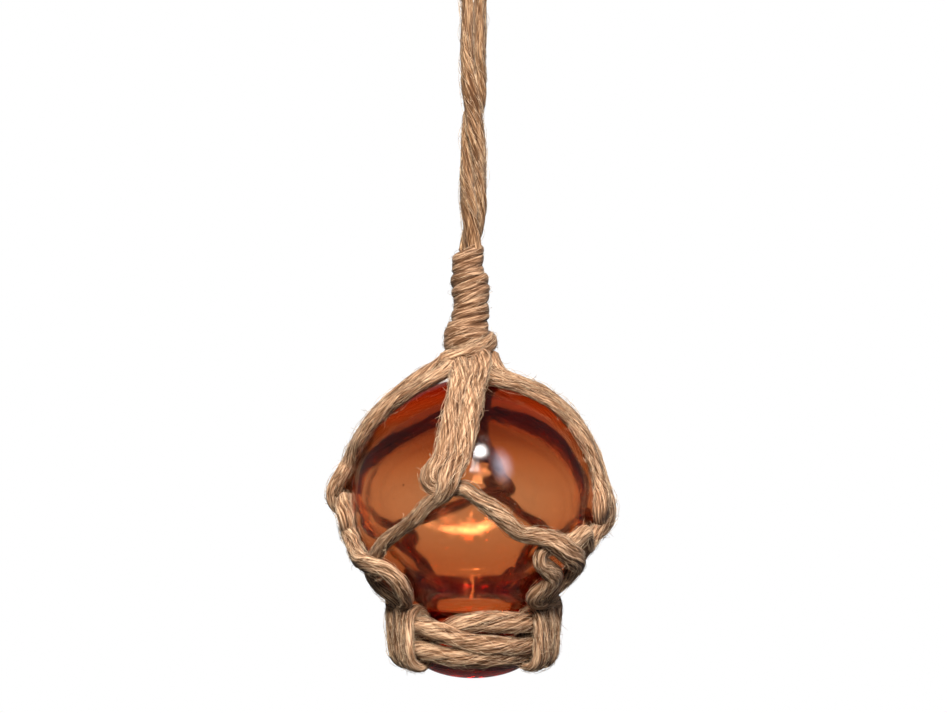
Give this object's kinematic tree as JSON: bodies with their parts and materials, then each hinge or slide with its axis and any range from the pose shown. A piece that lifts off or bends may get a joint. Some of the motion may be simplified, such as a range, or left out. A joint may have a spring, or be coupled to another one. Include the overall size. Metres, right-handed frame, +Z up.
{
  "type": "glass float ball",
  "caption": "Small hollow glass ball with a wide sealed end, held in a knotted jute net and hung from a doubled cord, for display.",
  "frame": {"origin": "inside the top of the hanging loop, where a hook bears", "axes": "+Z up along the hanging cord, -Y towards the front knot of the net"},
  "size_m": [0.0612, 0.0616, 0.1682],
  "materials": {
    "amber_glass": "clear amber glass, smooth",
    "net_jute": "soft laid jute cord, hairy",
    "whipping_jute": "tightly wound jute yarn",
    "hanging_jute": "twisted jute cord, hairy"
  },
  "bodies": {
    "root": {"glass_float": "amber_glass", "base_ring": "net_jute", "net_cord_1": "net_jute", "net_cord_2": "net_jute", "net_cord_3": "net_jute", "net_cord_4": "net_jute", "whipping": "whipping_jute", "hanging_cord": "hanging_jute"}
  },
  "joints": []
}
